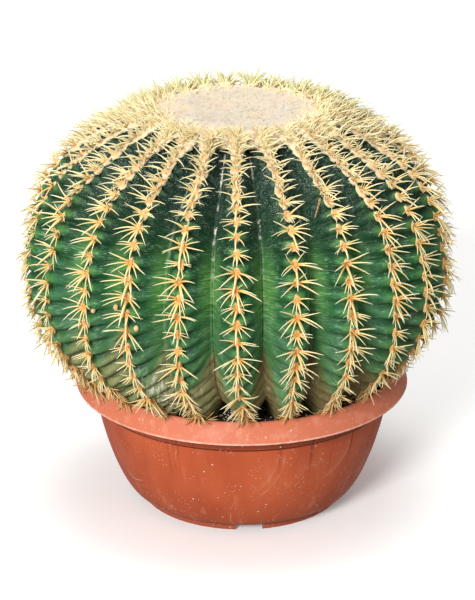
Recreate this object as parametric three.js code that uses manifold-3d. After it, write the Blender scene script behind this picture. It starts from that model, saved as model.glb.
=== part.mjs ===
// Round ribbed cactus in a low plastic bowl pot.
// Millimetres, +Z up. The origin is on the ground under the stem's axis, and -Y is the front.

import * as THREE from 'three';
import { mergeVertices } from 'three/addons/utils/BufferGeometryUtils.js';
import Module from 'manifold-3d';

const wasm = await Module();
wasm.setup();

const { cos, sin, PI } = Math;

// Gap between pieces that touch
const gap = 0.35;

// Pot: a moulded bowl that stands a little to the right of the stem's axis. Its body is one
// curve from the foot to the neck, and its rim is a band that slopes out and down to a lip.
const potShift = 4;
const potSides = 48;
const wall = 3;
const footRadius = 91;
const footWidth = 4.5;
const footHeight = 6.2;
const footStep = 2;
const floorTop = 9.2;
const bodyRadius = 132.5;
const bodyHeight = 96;
const bodyFlare = [109.5, 6.8];
const bodyShoulder = [126.9, 63.5];
const neckStep = 1.3;
const neckRadius = 136.4;
const neckHeight = 120.5;
const lipRadius = 150;
const lipHeight = 109.4;
const rimRadius = 140;
const lipRound = 2;
const bandBulge = [145.5, 118.5];
const rimHeight = 127;
const rimRound = 1.7;
const draft = 0.6;
const notchCount = 4;
const notchWidth = 24;
const notchHeight = 5;
const notchShift = 0.045;
const drainCount = 4;
const drainRadius = 5;
const drainCircle = 55;
const drainSides = 10;

// Soil: its level at the pot's wall, and how much higher it lies against the stem
const soilLevel = 118.5;
const soilRise = 2.5;
const curveSteps = 5;

// Stem: a globe of two half ellipses round its waist, with sharp grooves between round ribs
const ribCount = 23;
const samplesPerRib = 4;
const ribDepth = 28;
const flankShare = 0.36;
const stemRadius = 184;
const waistHeight = 217;
const stemAbove = 157;
const stemBelow = 130;
const crownRadius = 80;

// Under the crown its shoulder is fuller than an ellipse: the middle of that swelling, its span and size
const shoulderHeight = 308;
const shoulderSpan = 35;
const shoulderSwell = 8;

// Top of the stem under the wool
const crownHeight = 357.5;
const crownDip = 2.5;
const dipHalfway = 0.6;

// Tap root and the stem's hidden foot: each ring's share of a radius, and its height over the tip or top
const rootRadius = 30;
const rootTop = 80;
const rootTip = 52;
const rootShoulder = [0.6, 8];
const footFlare = [0.4, 14];
const footEdge = [0.56, 26];
const footGroove = 0.4;

// Areoles: cushions up each rib's crest, from just over the rim to just under the crown
const areoleCount = 11;
const firstAreole = 0.12;
const lastAreole = 0.94;
const cushionLift = 0.6;
const cushionHeight = 3.4;
const cushionWidth = 8;
const cushionLength = 7;
const ridgeHeight = 2;
const ridgeWidth = 4;
const lowerEnd = 9;
const upperEnd = 1;

// Spines of one areole: length, then how far it leans outwards, up the rib and sideways
const upperSpine = [11, 0.85, 0.4, 0.35];
const sideSpine = [23, 0.45, -0.05, 0.88];
const lowerSpine = [20, 0.6, -0.62, 0.5];
const lengthSpread = 0.3;
const leanSpread = 0.16;

// Near the crown the ribs crowd together, so side spines lean less sideways and more outwards
const roomToSpare = 0.12;
const crowdedLean = 0.7;

// Lower spines of the lowest areoles, which stand out over the pot's rim
const rimSpine = [18, 0.65, -0.1, 0.5];

// Felt collar that the youngest spines stand on, and the wool inside it
const collarInner = 68;
const collarOuter = 85;
const collarFoot = 358.9;
const collarHeight = 7;
const collarSlope = 4;
const collarEdge = 0.5;
const youngFrom = 0.6;
const youngSpine = 9;
const youngLean = 0.5;
const woolHeight = 6.5;
const woolRound = [5, 3];
const woolDip = 5;
const woolSlope = [0.6, 0.35];
const woolHollow = 0.25;
const seamInset = 2;

const potColour = '#c4603c';
const soilColour = '#2c231b';
const stemColour = '#2c6a3c';
const spineColour = '#e6c374';
const woolColour = '#e8d8bc';

// Repeatable draws, so that every run gives the same spines
let drawState = 7;
function draw(spread) {
  drawState = (drawState * 48271) % 2147483647;
  return (drawState / 2147483647 - 0.5) * spread;
}

// Closed mesh as a solid, with its seam and poles merged
function solidOf(geometry) {
  const bare = geometry.clone();
  bare.deleteAttribute('normal');
  bare.deleteAttribute('uv');
  const merged = mergeVertices(bare, 1e-4);
  const corners = merged.index.array;
  const triVerts = [];
  for (let i = 0; i < corners.length; i += 3) {
    const [a, b, c] = corners.slice(i, i + 3);
    if (a !== b && b !== c && c !== a) triVerts.push(a, b, c);
  }
  const vertProperties = new Float32Array(merged.getAttribute('position').array);
  const mesh = new wasm.Mesh({ numProp: 3, vertProperties, triVerts: new Uint32Array(triVerts) });
  return new wasm.Manifold(mesh);
}

function geometryOf(solid) {
  const mesh = solid.getMesh();
  const geometry = new THREE.BufferGeometry();
  geometry.setAttribute('position', new THREE.BufferAttribute(mesh.vertProperties, 3));
  geometry.setIndex(new THREE.BufferAttribute(mesh.triVerts, 1));
  geometry.computeVertexNormals();
  return geometry;
}

function piece(name, solid, colour, roughness) {
  const material = new THREE.MeshStandardMaterial({ color: colour, roughness, metalness: 0 });
  const mesh = new THREE.Mesh(geometryOf(solid), material);
  mesh.name = name;
  return mesh;
}

// Profile of (radius, height) points turned round the Z axis
function turned(points, sides) {
  return new THREE.LatheGeometry(points, sides).rotateX(PI / 2);
}

// Pot

// Inside face of the pot, from the floor up to the rim, moved in by an inset
function insideWall(path, inset, top) {
  const low = floorTop + inset;
  const inwards = wall + inset;
  path.lineTo(footRadius - footStep - inset, low);
  path.bezierCurveTo(bodyFlare[0] - inwards, low, bodyShoulder[0] - inwards, bodyShoulder[1],
    bodyRadius - inwards, bodyHeight + neckStep);
  path.lineTo(neckRadius - inwards, top);
}

function potSolid() {
  const path = new THREE.Path();
  const footInner = footRadius - footWidth;
  path.moveTo(0, footHeight);
  path.lineTo(footInner, footHeight);
  path.lineTo(footInner, 0);
  path.lineTo(footRadius, 0);
  path.lineTo(footRadius + draft, footHeight - draft);
  path.lineTo(footRadius + footStep, footHeight);
  path.bezierCurveTo(...bodyFlare, ...bodyShoulder, bodyRadius, bodyHeight);
  path.lineTo(bodyRadius + neckStep, bodyHeight + neckStep);
  path.lineTo(neckRadius, neckHeight);
  path.lineTo(lipRadius - wall, lipHeight + draft);
  path.lineTo(lipRadius - lipRound, lipHeight - draft);
  path.lineTo(lipRadius, lipHeight);
  path.lineTo(...bandBulge);
  path.lineTo(rimRadius + rimRound, rimHeight - 2 * draft);
  path.lineTo(rimRadius, rimHeight);
  path.lineTo(rimRadius - rimRound, rimHeight - draft);
  const outside = path.getPoints(curveSteps + 1);

  const inside = new THREE.Path();
  inside.moveTo(0, floorTop);
  insideWall(inside, 0, soilLevel);
  const bowl = solidOf(turned([...outside, ...inside.getPoints(curveSteps).reverse()], potSides));

  const cuts = [];
  for (let i = 0; i < notchCount; i++) {
    const notch = new THREE.BoxGeometry(notchWidth, 4 * footWidth, 2 * notchHeight);
    cuts.push(notch.translate(0, -footRadius, 0).rotateZ(((i + notchShift) * 2 * PI) / notchCount));
  }
  for (let i = 0; i < drainCount; i++) {
    const drain = new THREE.CylinderGeometry(drainRadius, drainRadius, 4 * floorTop, drainSides);
    drain.rotateX(PI / 2).translate(0, -drainCircle, 0);
    cuts.push(drain.rotateZ(((i + 0.5) * 2 * PI) / drainCount));
  }
  return cuts.reduce((rest, cut) => rest.subtract(solidOf(cut)), bowl).translate(potShift, 0, 0);
}

// Stem

// One rib's crest, as (radius, height), from the soil line to the crown's edge
class Crest extends THREE.Curve {
  constructor() {
    super();
    this.start = Math.asin((soilLevel - waistHeight) / stemBelow);
    this.end = Math.acos(crownRadius / stemRadius);
  }

  getPoint(t, target = new THREE.Vector2()) {
    const tilt = THREE.MathUtils.lerp(this.start, this.end, t);
    const reach = tilt < 0 ? stemBelow : stemAbove;
    const height = waistHeight + reach * sin(tilt);
    const swell = shoulderSwell * Math.exp(-(((height - shoulderHeight) / shoulderSpan) ** 2));
    return target.set(stemRadius * cos(tilt) + swell, height);
  }
}

const crest = new Crest();
const areoles = Array.from({ length: areoleCount }, (_, i) =>
  THREE.MathUtils.lerp(firstAreole, lastAreole, i / (areoleCount - 1)));

// Ring of the stem on the crest curve: its crest point, outward normal and groove depth
function crestRing(u) {
  const point = crest.getPointAt(u);
  const tangent = crest.getTangentAt(u);
  const narrowing = point.y > waistHeight ? point.x / stemRadius : 1;
  return { point, normal: new THREE.Vector2(tangent.y, -tangent.x), depth: ribDepth * narrowing };
}

function plainRing(radius, height, depth, nr, nz) {
  return { point: new THREE.Vector2(radius, height), normal: new THREE.Vector2(nr, nz).normalize(), depth };
}

// Stem as a turned shape whose grooves are pressed in along each ring's normal. Its rings go up from
// the root, through the foot that the soil hides and the ribs, to the plain top under the wool.
function stemSolid(grow) {
  const rings = [
    plainRing(0, rootTip, 0, 0, -1),
    plainRing(rootRadius * rootShoulder[0], rootTip + rootShoulder[1], 0, 1, -0.5),
    plainRing(rootRadius, rootTop, 0, 1, -1),
    plainRing(stemRadius * footFlare[0], rootTop + footFlare[1], 0, 0.4, -1),
    plainRing(stemRadius * footEdge[0], rootTop + footEdge[1], ribDepth * footGroove, 0.6, -0.8),
    ...[0, ...areoles, 1].map(crestRing),
    plainRing(collarInner - seamInset, crownHeight, 0, 0, 1),
    plainRing(collarInner / 2, crownHeight - crownDip * dipHalfway, 0, 0, 1),
    plainRing(0, crownHeight - crownDip, 0, 0, 1),
  ];
  const columns = ribCount * samplesPerRib;
  const shape = new THREE.LatheGeometry(rings.map((ring) => ring.point), columns);
  const position = shape.getAttribute('position');
  const pressed = [0, flankShare, 1, flankShare];
  for (let column = 0; column <= columns; column++) {
    const turn = (column * 2 * PI) / columns;
    rings.forEach(({ point, normal, depth }, row) => {
      const shift = grow - depth * pressed[column % samplesPerRib];
      const radius = point.x === 0 ? 0 : point.x + normal.x * shift;
      const height = point.y + normal.y * shift;
      position.setXYZ(column * rings.length + row, radius * sin(turn), height, radius * cos(turn));
    });
  }
  return solidOf(shape.rotateX(PI / 2));
}

// Soil

function soilSolid() {
  const path = new THREE.Path();
  path.moveTo(0, floorTop + gap);
  insideWall(path, gap, soilLevel);
  path.lineTo(0, soilLevel + soilRise);
  const filling = solidOf(turned(path.getPoints(curveSteps), potSides)).translate(potShift, 0, 0);
  return filling.subtract(stemSolid(gap));
}

// Spine rows

// Triangle raised into a three-sided spine
function spineOn([a, b, c], tip) {
  return [[a, b, tip], [b, c, tip], [c, a, tip]];
}

function middle(corners) {
  return corners.reduce((sum, corner) => sum.add(corner), new THREE.Vector3()).divideScalar(corners.length);
}

// Row of cushions on one rib: a low ridge that joins them, with each cushion's faces raised into spines
function spineRow(rib) {
  const turn = (rib * 2 * PI) / ribCount;
  const outward = new THREE.Vector3(sin(turn), -cos(turn), 0);
  const sideways = new THREE.Vector3(cos(turn), sin(turn), 0);
  const place = ({ x, y }) => outward.clone().multiplyScalar(x).setZ(y);

  const ends = [0, ...areoles, 1].map(crestRing);
  const along = (i, length) => {
    const near = ends[i].point;
    const far = ends[length > 0 ? i + 1 : i - 1].point;
    return near.clone().lerp(far, Math.abs(length) / near.distanceTo(far));
  };
  const halfway = (i) => ends[i].point.distanceTo(ends[i + 1].point) / 2;

  // Cross-section of the ridge: its left foot, top and right foot
  const section = (point, normal, width, height) => {
    const foot = place(point).addScaledVector(normal, cushionLift);
    return {
      left: foot.clone().addScaledVector(sideways, -width / 2),
      top: foot.clone().addScaledVector(normal, height),
      right: foot.clone().addScaledVector(sideways, width / 2),
    };
  };

  const facets = [];
  const last = ends.length - 2;
  let below = null;
  for (let i = 1; i <= last; i++) {
    const normal = place(ends[i].normal);
    const upward = place({ x: -ends[i].normal.y, y: ends[i].normal.x });
    const next = place(ends[i + 1].normal).add(normal).normalize();
    below ??= section(along(i, -lowerEnd), normal, ridgeWidth, ridgeHeight);
    const low = section(along(i, -cushionLength / 2), normal, cushionWidth, cushionHeight);
    const high = section(along(i, cushionLength / 2), normal, cushionWidth, cushionHeight);
    const onward = i < last ? halfway(i) : 2 * halfway(i) - upperEnd;
    const above = section(along(i, onward), next, ridgeWidth, ridgeHeight);
    const peak = middle([low.top, high.top]);

    const room = Math.min(1, ends[i].point.x / stemRadius + roomToSpare);
    const downward = i === 1 ? rimSpine : lowerSpine;
    const tip = (corners, [length, out, up, side], hand) => {
      const lean = normal.clone().multiplyScalar(out + (1 - room) * crowdedLean + draw(leanSpread))
        .addScaledVector(upward, up + draw(leanSpread))
        .addScaledVector(sideways, hand * (side * room + draw(leanSpread)));
      return middle(corners).addScaledVector(lean.normalize(), length * (1 + draw(lengthSpread)));
    };
    const raised = [
      [[peak, above.top, high.left], upperSpine, -1],
      [[peak, high.left, low.left], sideSpine, -1],
      [[peak, low.left, below.top], downward, -1],
      [[peak, below.top, low.right], downward, 1],
      [[peak, low.right, high.right], sideSpine, 1],
      [[peak, high.right, above.top], upperSpine, 1],
    ];
    for (const [corners, spine, hand] of raised) {
      facets.push(...spineOn(corners, tip(corners, spine, hand)));
    }
    facets.push([below.top, low.left, below.left], [below.top, below.right, low.right]);
    facets.push([above.top, above.left, high.left], [above.top, high.right, above.right]);
    for (const [under, over] of [[below, low], [low, high], [high, above]]) {
      facets.push([under.left, over.left, over.right], [under.left, over.right, under.right]);
    }
    if (i === 1) facets.push([below.left, below.right, below.top]);
    if (i === last) facets.push([above.left, above.top, above.right]);
    below = above;
  }
  return solidOf(new THREE.BufferGeometry().setFromPoints(facets.flat()));
}

// Felt collar round the crown, with every other triangle of its top raised into a young spine
function collarSolid() {
  const top = collarFoot + collarHeight;
  const profile = [
    [collarInner, collarFoot],
    [collarOuter, collarFoot],
    [collarOuter, collarFoot + collarHeight * collarEdge],
    [collarOuter - collarSlope, top],
    [collarInner + collarSlope, top],
    [collarInner, collarFoot],
  ].map(([r, z]) => new THREE.Vector2(r, z));
  const ring = turned(profile, 2 * ribCount).toNonIndexed();
  const position = ring.getAttribute('position');
  const facets = [];
  for (let i = 0; i < position.count; i += 3) {
    const corners = [0, 1, 2].map((k) => new THREE.Vector3().fromBufferAttribute(position, i + k));
    const centre = middle(corners);
    const reach = Math.hypot(centre.x, centre.y);
    const onTop = centre.z > collarFoot + collarHeight * youngFrom && reach > collarInner + collarSlope;
    if (!onTop || i % 2 === 0) {
      facets.push(corners);
      continue;
    }
    const outwards = (youngLean + draw(youngLean)) / reach;
    const lean = new THREE.Vector3(centre.x, centre.y, 0).multiplyScalar(outwards);
    const length = youngSpine * (1 + draw(lengthSpread));
    facets.push(...spineOn(corners, centre.addScaledVector(lean.setZ(1).normalize(), length)));
  }
  return solidOf(new THREE.BufferGeometry().setFromPoints(facets.flat()));
}

function spinesSolid() {
  let joined = collarSolid();
  for (let rib = 0; rib < ribCount; rib++) joined = joined.add(spineRow(rib));
  return joined;
}

// Crown wool

function woolSolid() {
  const edge = collarInner - gap;
  const under = crownHeight + gap;
  const top = crownHeight + woolHeight;
  const profile = [
    [0, under - crownDip],
    [edge / 2, under - crownDip * dipHalfway],
    [edge - seamInset, under],
    [edge, top - woolRound[1]],
    [edge - woolRound[0], top],
    [edge * woolSlope[0], top - woolDip * woolSlope[1]],
    [edge * woolHollow, top - woolDip],
    [0, top - woolDip],
  ].map(([r, z]) => new THREE.Vector2(r, z));
  return solidOf(turned(profile, 2 * ribCount));
}

const cactus = new THREE.Group();
cactus.add(piece('pot', potSolid(), potColour, 0.6));
cactus.add(piece('soil', soilSolid(), soilColour, 0.95));
cactus.add(piece('stem', stemSolid(0), stemColour, 0.55));
cactus.add(piece('crown_wool', woolSolid(), woolColour, 0.95));
cactus.add(piece('spines', spinesSolid(), spineColour, 0.5));

export default cactus;
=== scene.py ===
"""Potted round cactus: a ribbed green globe with golden spines and a woolly crown, in a plastic bowl pot.

It is laid out as a Blender add-on and run as a script. Lengths are metres, +Z is up and -Y is the front.
"""

import math

import bpy
import numpy as np
from bpy.props import FloatProperty, IntProperty, PointerProperty, StringProperty
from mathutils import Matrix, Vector


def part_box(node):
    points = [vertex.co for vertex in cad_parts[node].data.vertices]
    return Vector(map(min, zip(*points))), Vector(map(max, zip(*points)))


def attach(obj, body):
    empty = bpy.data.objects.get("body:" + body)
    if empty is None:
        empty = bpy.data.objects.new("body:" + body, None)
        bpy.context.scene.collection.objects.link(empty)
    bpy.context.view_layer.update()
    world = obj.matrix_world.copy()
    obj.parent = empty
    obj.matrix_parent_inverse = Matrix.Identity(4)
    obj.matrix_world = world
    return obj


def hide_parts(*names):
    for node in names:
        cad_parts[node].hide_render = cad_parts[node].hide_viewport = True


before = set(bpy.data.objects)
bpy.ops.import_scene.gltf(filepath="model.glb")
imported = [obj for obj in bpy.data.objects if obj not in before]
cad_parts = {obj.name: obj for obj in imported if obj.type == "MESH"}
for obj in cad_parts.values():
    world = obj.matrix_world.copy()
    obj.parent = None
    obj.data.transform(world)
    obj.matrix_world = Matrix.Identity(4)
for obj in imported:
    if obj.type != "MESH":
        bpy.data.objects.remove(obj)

bl_info = {
    "name": "Potted round cactus",
    "version": (1, 0, 0),
    "blender": (4, 5, 0),
    "location": "3D View > Sidebar > Cactus",
    "description": "Builds a ribbed round cactus with golden spines in a plastic bowl pot",
    "category": "Add Mesh",
}

MM = 0.001
TURN = 2 * math.pi
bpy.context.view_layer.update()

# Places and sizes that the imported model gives
POT_LOW, POT_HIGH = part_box("pot")
STEM_LOW, STEM_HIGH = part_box("stem")
WOOL_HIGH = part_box("crown_wool")[1]
SOIL_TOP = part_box("soil")[1].z
POT_X = (POT_LOW.x + POT_HIGH.x) / 2
LIP_RADIUS = POT_HIGH.x - POT_X
RIM_TOP = POT_HIGH.z
STEM_RADIUS = -STEM_LOW.y
CROWN_TOP = STEM_HIGH.z
WOOL_TOP = WOOL_HIGH.z

# The wool's edge is tucked under the felt of the highest areoles
WOOL_EDGE = WOOL_HIGH.y + 16 * MM

# The globe is two half ellipses that meet at its waist
WAIST = 217 * MM
ABOVE = 157 * MM
BELOW = 130 * MM
CROWN_RADIUS = 80 * MM

# Under the crown its shoulder is fuller than an ellipse
SHOULDER_HEIGHT = 308 * MM
SHOULDER_SPAN = 35 * MM
SHOULDER_SWELL = 8 * MM

# A rib's crest is followed from under the soil to under the wool, and areoles close up on its last stretch
FOOT_TILT = -math.radians(66)
CROWN_TILT = math.acos(66 * MM / STEM_RADIUS)
CREST_STEPS = 3000
TAPER = 128 * MM


# Settings

def metres(name, description, default):
    return FloatProperty(name=name, description=description, default=default,
                         subtype="DISTANCE", unit="LENGTH")


def whole(name, description, default):
    return IntProperty(name=name, description=description, default=default)


def tint(name, description, default):
    return StringProperty(name=name, description=description, default=default)


class StemSettings(bpy.types.PropertyGroup):
    """The green globe"""

    ribs: IntProperty(name="Ribs", description="Ribs round the globe", default=23, min=8)
    rib_depth: metres("Rib depth", "From a rib's crest to the groove beside it", 28 * MM)
    bulge: metres("Bulge", "Height of the swelling under each areole", 8 * MM)
    puff: metres("Puff", "How far a flank swells sideways beside an areole", 6 * MM)
    samples: whole("Samples", "Columns of the mesh across each rib", 20)
    rings: whole("Rings", "Rings of the mesh from foot to crown", 206)
    green: tint("Green", "Colour of the flanks at the waist", "#2A6636")
    # Painted highlight on the tops of the swellings
    swelling_highlight: tint("Light green", "Colour of the swellings", "#68A64F")
    crown_green: tint("Crown green", "Colour beside the crown", "#1F362A")
    cork: tint("Cork", "Colour of the corky foot", "#9A9967")


class SpineSettings(bpy.types.PropertyGroup):
    """Areoles and their spines"""

    spacing: metres("Spacing", "Between areoles on the lower two thirds of a rib", 14.6 * MM)
    crown_spacing: metres("Crown spacing", "Between areoles beside the crown", 4.6 * MM)
    length: metres("Length", "Side spine of a large areole", 20.8 * MM)
    thickness: metres("Thickness", "Across a spine's root", 1.95 * MM)
    root: tint("Root", "Colour at a spine's root", "#E89C55")
    middle: tint("Middle", "Colour a third of the way along", "#F4D792")
    tip: tint("Tip", "Colour at the tip", "#F7ECC6")
    old: tint("Old", "Colour of old spines at the foot", "#BC8A3E")
    felt: tint("Felt", "Colour of the areoles' felt", "#EFA85F")
    seed: whole("Seed", "Picks the random lean of the spines", 5)


class CrownSettings(bpy.types.PropertyGroup):
    """Woolly crown"""

    lump: metres("Lump", "Size of the wool's soft lumps", 11 * MM)
    dip: metres("Dip", "Depth of the hollow in the middle", 4.5 * MM)
    hairs: whole("Hairs", "Fine hairs that stand out of the wool", 4200)
    young_spines: whole("Young spines", "Short spines in the felt round the wool", 680)
    colour: tint("Wool", "Colour of the wool", "#C9BAA2")
    seed: whole("Seed", "Picks the hairs", 11)


class SoilSettings(bpy.types.PropertyGroup):
    """Potting soil"""

    grain: metres("Grain", "Typical crumb", 2.2 * MM)
    crumbs: whole("Crumbs", "Loose crumbs on top", 3200)
    perlite: whole("Perlite", "White perlite grains", 700)
    colour: tint("Soil", "Colour of the peat", "#56463A")
    seed: whole("Seed", "Picks the crumbs", 23)


class PotSettings(bpy.types.PropertyGroup):
    """Plastic bowl pot"""

    steps: whole("Steps", "Steps of the spin", 144)
    wall: metres("Wall", "Thickness of the plastic", 3 * MM)
    notches: whole("Notches", "Notches in the foot ring", 4)
    notch_width: metres("Notch width", "Along the foot ring", 24 * MM)
    notch_height: metres("Notch height", "Up the foot ring", 5 * MM)
    drains: whole("Drain holes", "Holes in the floor", 4)
    colour: tint("Plastic", "Colour of the body", "#BF5A36")
    rim_colour: tint("Rim", "Colour of the paler, dusty rim", "#CF7455")


class StageSettings(bpy.types.PropertyGroup):
    """Floor, lights and camera"""

    elevation: FloatProperty(name="Elevation", description="Of the camera above the horizon",
                             default=math.radians(21.2), subtype="ANGLE", unit="ROTATION")
    distance: metres("Distance", "From the camera to the globe", 2.5)
    lens: FloatProperty(name="Lens", description="Focal length in millimetres on a 36 mm sensor",
                        default=167.3)
    daylight: FloatProperty(name="Daylight", description="Strength of the even light", default=0.4)


SETTINGS = {"stem": StemSettings, "spines": SpineSettings, "crown": CrownSettings, "soil": SoilSettings,
            "pot": PotSettings, "stage": StageSettings}


def settings(group):
    return getattr(bpy.context.scene, "cactus_" + group)


# Numbers and places

def ease(x, low=0.0, high=1.0):
    """0 at low, 1 at high and a soft slope between. Low may be the larger of the two."""
    share = np.clip((x - low) / (high - low), 0, 1)
    return share * share * (3 - 2 * share)


def ease_mm(x, low, high):
    """The same for a length, between two others in millimetres."""
    return ease(x, low * MM, high * MM)


def hump(x, middle, reach):
    """1 at the middle, falling off like a bell on both sides."""
    return np.exp(-((x - middle) / reach) ** 2)


def grain(points, size, seed):
    """Smooth random value from -1 to 1 at each point, with lumps of about that size."""
    cells = 32
    lattice = np.random.default_rng(seed).uniform(-1, 1, (cells, cells, cells))
    place = np.asarray(points) / size
    cell = np.floor(place).astype(int)
    part = ease(place - cell)
    total = 0
    for corner in np.ndindex(2, 2, 2):
        share = np.prod(np.where(corner, part, 1 - part), axis=1)
        at = (cell + corner) % cells
        total = total + share * lattice[at[:, 0], at[:, 1], at[:, 2]]
    return total


def unit(vectors):
    return vectors / np.linalg.norm(vectors, axis=-1, keepdims=True)


def around(turn, radius, height, x=0.0):
    """Places at a turn from the front, a distance from an upright axis and a height."""
    return np.stack([x + radius * np.sin(turn), -radius * np.cos(turn), height + 0 * turn], -1)


def turn_of(points):
    return np.arctan2(points[:, 0], -points[:, 1])


def set_on(spots, shape, *axes):
    """Copies of a shape, one on each spot, with the shape's x, y and z along that spot's three axes."""
    return spots[:, None] + sum(shape[..., i:i + 1] * axis[:, None] for i, axis in enumerate(axes))


# Pieces

def only(piece):
    """Leaves that piece alone selected and active."""
    bpy.ops.object.select_all(action="DESELECT")
    piece.select_set(True)
    bpy.context.view_layer.objects.active = piece


def edit_all():
    """Opens the active piece in edit mode with all of it selected."""
    bpy.ops.object.mode_set(mode="EDIT")
    bpy.ops.mesh.select_all(action="SELECT")


def named(name):
    """The object that the last operator made, under its new name."""
    piece = bpy.context.object
    piece.name = name
    piece.data.name = name
    return piece


def points_of(piece):
    found = np.empty(len(piece.data.vertices) * 3)
    piece.data.vertices.foreach_get("co", found)
    return found.reshape(-1, 3)


def mark(piece, **values):
    """Keeps one number for each vertex of a piece, for its material to read."""
    for name, value in values.items():
        layer = piece.data.attributes.new(name, "FLOAT", "POINT")
        layer.data.foreach_set("value", np.asarray(value, dtype=np.float32).ravel())


def template():
    """Vertices and faces of the small shape that the last operator made, which is then removed."""
    piece = bpy.context.object
    points = points_of(piece)
    faces = [tuple(face.vertices) for face in piece.data.polygons]
    bpy.data.objects.remove(piece)
    return points, faces


def stamped(name, points, faces):
    """One piece made of copies of a template. points is copies x vertices x 3."""
    copies, corners = points.shape[:2]
    mesh = bpy.data.meshes.new(name)
    steps = np.arange(copies)[:, None, None] * corners
    loops, counts = [], []
    for size in sorted({len(face) for face in faces}):
        alike = np.array([face for face in faces if len(face) == size])
        loops.append((alike[None] + steps).reshape(-1))
        counts.append(np.full(copies * len(alike), size))
    loops, counts = np.concatenate(loops), np.concatenate(counts)
    mesh.vertices.add(copies * corners)
    mesh.vertices.foreach_set("co", points.astype(np.float32).ravel())
    mesh.loops.add(len(loops))
    mesh.loops.foreach_set("vertex_index", loops.astype(np.int32))
    mesh.polygons.add(len(counts))
    mesh.polygons.foreach_set("loop_start", (np.cumsum(counts) - counts).astype(np.int32))
    mesh.polygons.foreach_set("use_smooth", np.ones(len(counts), bool))
    mesh.update(calc_edges=True)
    mesh.validate()
    piece = bpy.data.objects.new(name, mesh)
    bpy.context.scene.collection.objects.link(piece)
    return piece


def finish_piece(piece, finish, slot, *nodes):
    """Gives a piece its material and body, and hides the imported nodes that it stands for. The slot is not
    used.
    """
    piece.data.materials.clear()
    piece.data.materials.append(finish)
    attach(piece, "root")
    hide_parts(*nodes)


def sheet(name, columns, rings):
    """Flat grid that is then wrapped into a round shape.

    Gives the piece, each vertex's turn from the front, and its place from the bottom (0) to the top (1)."""
    bpy.ops.mesh.primitive_grid_add(x_subdivisions=columns, y_subdivisions=rings, size=1)
    piece = named(name)
    points = points_of(piece)
    return piece, TURN * points[:, 0], points[:, 1] + 0.5


def wrap(piece, points):
    """Moves a sheet's vertices to their places and closes its seam and poles."""
    piece.data.vertices.foreach_set("co", points.astype(np.float32).ravel())
    piece.data.update()
    only(piece)
    edit_all()
    bpy.ops.mesh.remove_doubles(threshold=0.002 * MM)
    bpy.ops.object.mode_set(mode="OBJECT")
    bpy.ops.object.shade_smooth()


# Nodes

def linear(colour):
    """An sRGB hex colour as linear red, green, blue and alpha."""
    parts = [int(colour[i:i + 2], 16) / 255 for i in (1, 3, 5)]
    return [p / 12.92 if p <= 0.04045 else ((p + 0.055) / 1.055) ** 2.4 for p in parts] + [1.0]


def fill(tree, socket, value):
    """Puts a value, a hex colour or another node's output into a socket. None leaves it as it is."""
    if isinstance(value, bpy.types.NodeSocket):
        tree.links.new(value, socket)
    elif value is not None:
        socket.default_value = linear(value) if isinstance(value, str) else value


def add(tree, kind, *inputs, give=None, stops=(), **own):
    """Adds a node, sets it up and fills its open inputs in order.

    Gives its output of that name, or its first one. Stops are a ramp's places and hex colours."""
    made = tree.nodes.new("ShaderNode" + kind)
    for name, value in own.items():
        setattr(made, name, value)
    for _ in stops[2:]:
        made.color_ramp.elements.new(0.5)
    for number, (place, colour) in enumerate(stops):
        made.color_ramp.elements[number].position = place
        made.color_ramp.elements[number].color = linear(colour)
    for socket, value in zip([socket for socket in made.inputs if socket.enabled], inputs):
        fill(tree, socket, value)
    return made.outputs[give] if give else next(socket for socket in made.outputs if socket.enabled)


def times(tree, *factors):
    """The product of several factors.

    A factor is a number or an output, or an output, the value at which it counts as 0, the one at which it
    counts as 1 and, if it counts between others, those two."""
    product = None
    for factor in factors:
        if isinstance(factor, tuple):
            factor = add(tree, "MapRange", *factor, interpolation_type="SMOOTHSTEP")
        product = factor if product is None else add(tree, "Math", product, factor, operation="MULTIPLY")
    return product


def largest(tree, value, *others):
    for other in others:
        value = add(tree, "Math", value, other, operation="MAXIMUM")
    return value


def apart(tree, value, level):
    """How far a value is from a level, on either side."""
    return add(tree, "Math", add(tree, "Math", value, level, operation="SUBTRACT"), operation="ABSOLUTE")


def painted(tree, colour, *layers):
    """A colour under layers of others. A layer is the factors of its share, and then its colour."""
    for *factors, over in layers:
        colour = add(tree, "Mix", times(tree, *factors), colour, over, data_type="RGBA")
    return colour


def raised(tree, *layers):
    """A normal under layers of relief. A layer is a height from 0 to 1, a depth in metres and a strength."""
    normal = None
    for height, depth, strength in layers:
        normal = add(tree, "Bump", strength, depth, None, height, normal)
    return normal


def marks_of(tree, *names):
    """The numbers that mark() kept under those names."""
    return [add(tree, "Attribute", attribute_name=name, give="Fac") for name in names]


def where(tree, stretch=(1, 1, 1), centre=(0, 0, 0)):
    """Object coordinates, stretched about a centre."""
    shift = [-c * s for c, s in zip(centre, stretch)]
    return add(tree, "Mapping", add(tree, "TexCoord", give="Object"), shift, None, stretch)


def cloud(tree, size, detail=3.0, rough=0.55, spot=None):
    """Noise from 0 to 1 whose lumps have that size in metres."""
    return add(tree, "TexNoise", spot or where(tree), 1 / size, detail, rough)


def specks(tree, spacing, size):
    """1 inside round specks of that size and spacing, in metres, and 0 outside."""
    reach = add(tree, "TexVoronoi", where(tree), 1 / spacing)
    return times(tree, (reach, size / spacing, 0.5 * size / spacing))


def material(name):
    """A new material. Gives it, its tree and the height above the ground there."""
    made = bpy.data.materials.new(name)
    made.use_nodes = True
    return made, made.node_tree, add(made.node_tree, "SeparateXYZ", where(made.node_tree), give="Z")


def finished(made, values):
    """The material, once its shader has those values or outputs."""
    for name, value in values.items():
        fill(made.node_tree, made.node_tree.nodes["Principled BSDF"].inputs[name], value)
    return made


# Materials

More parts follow.
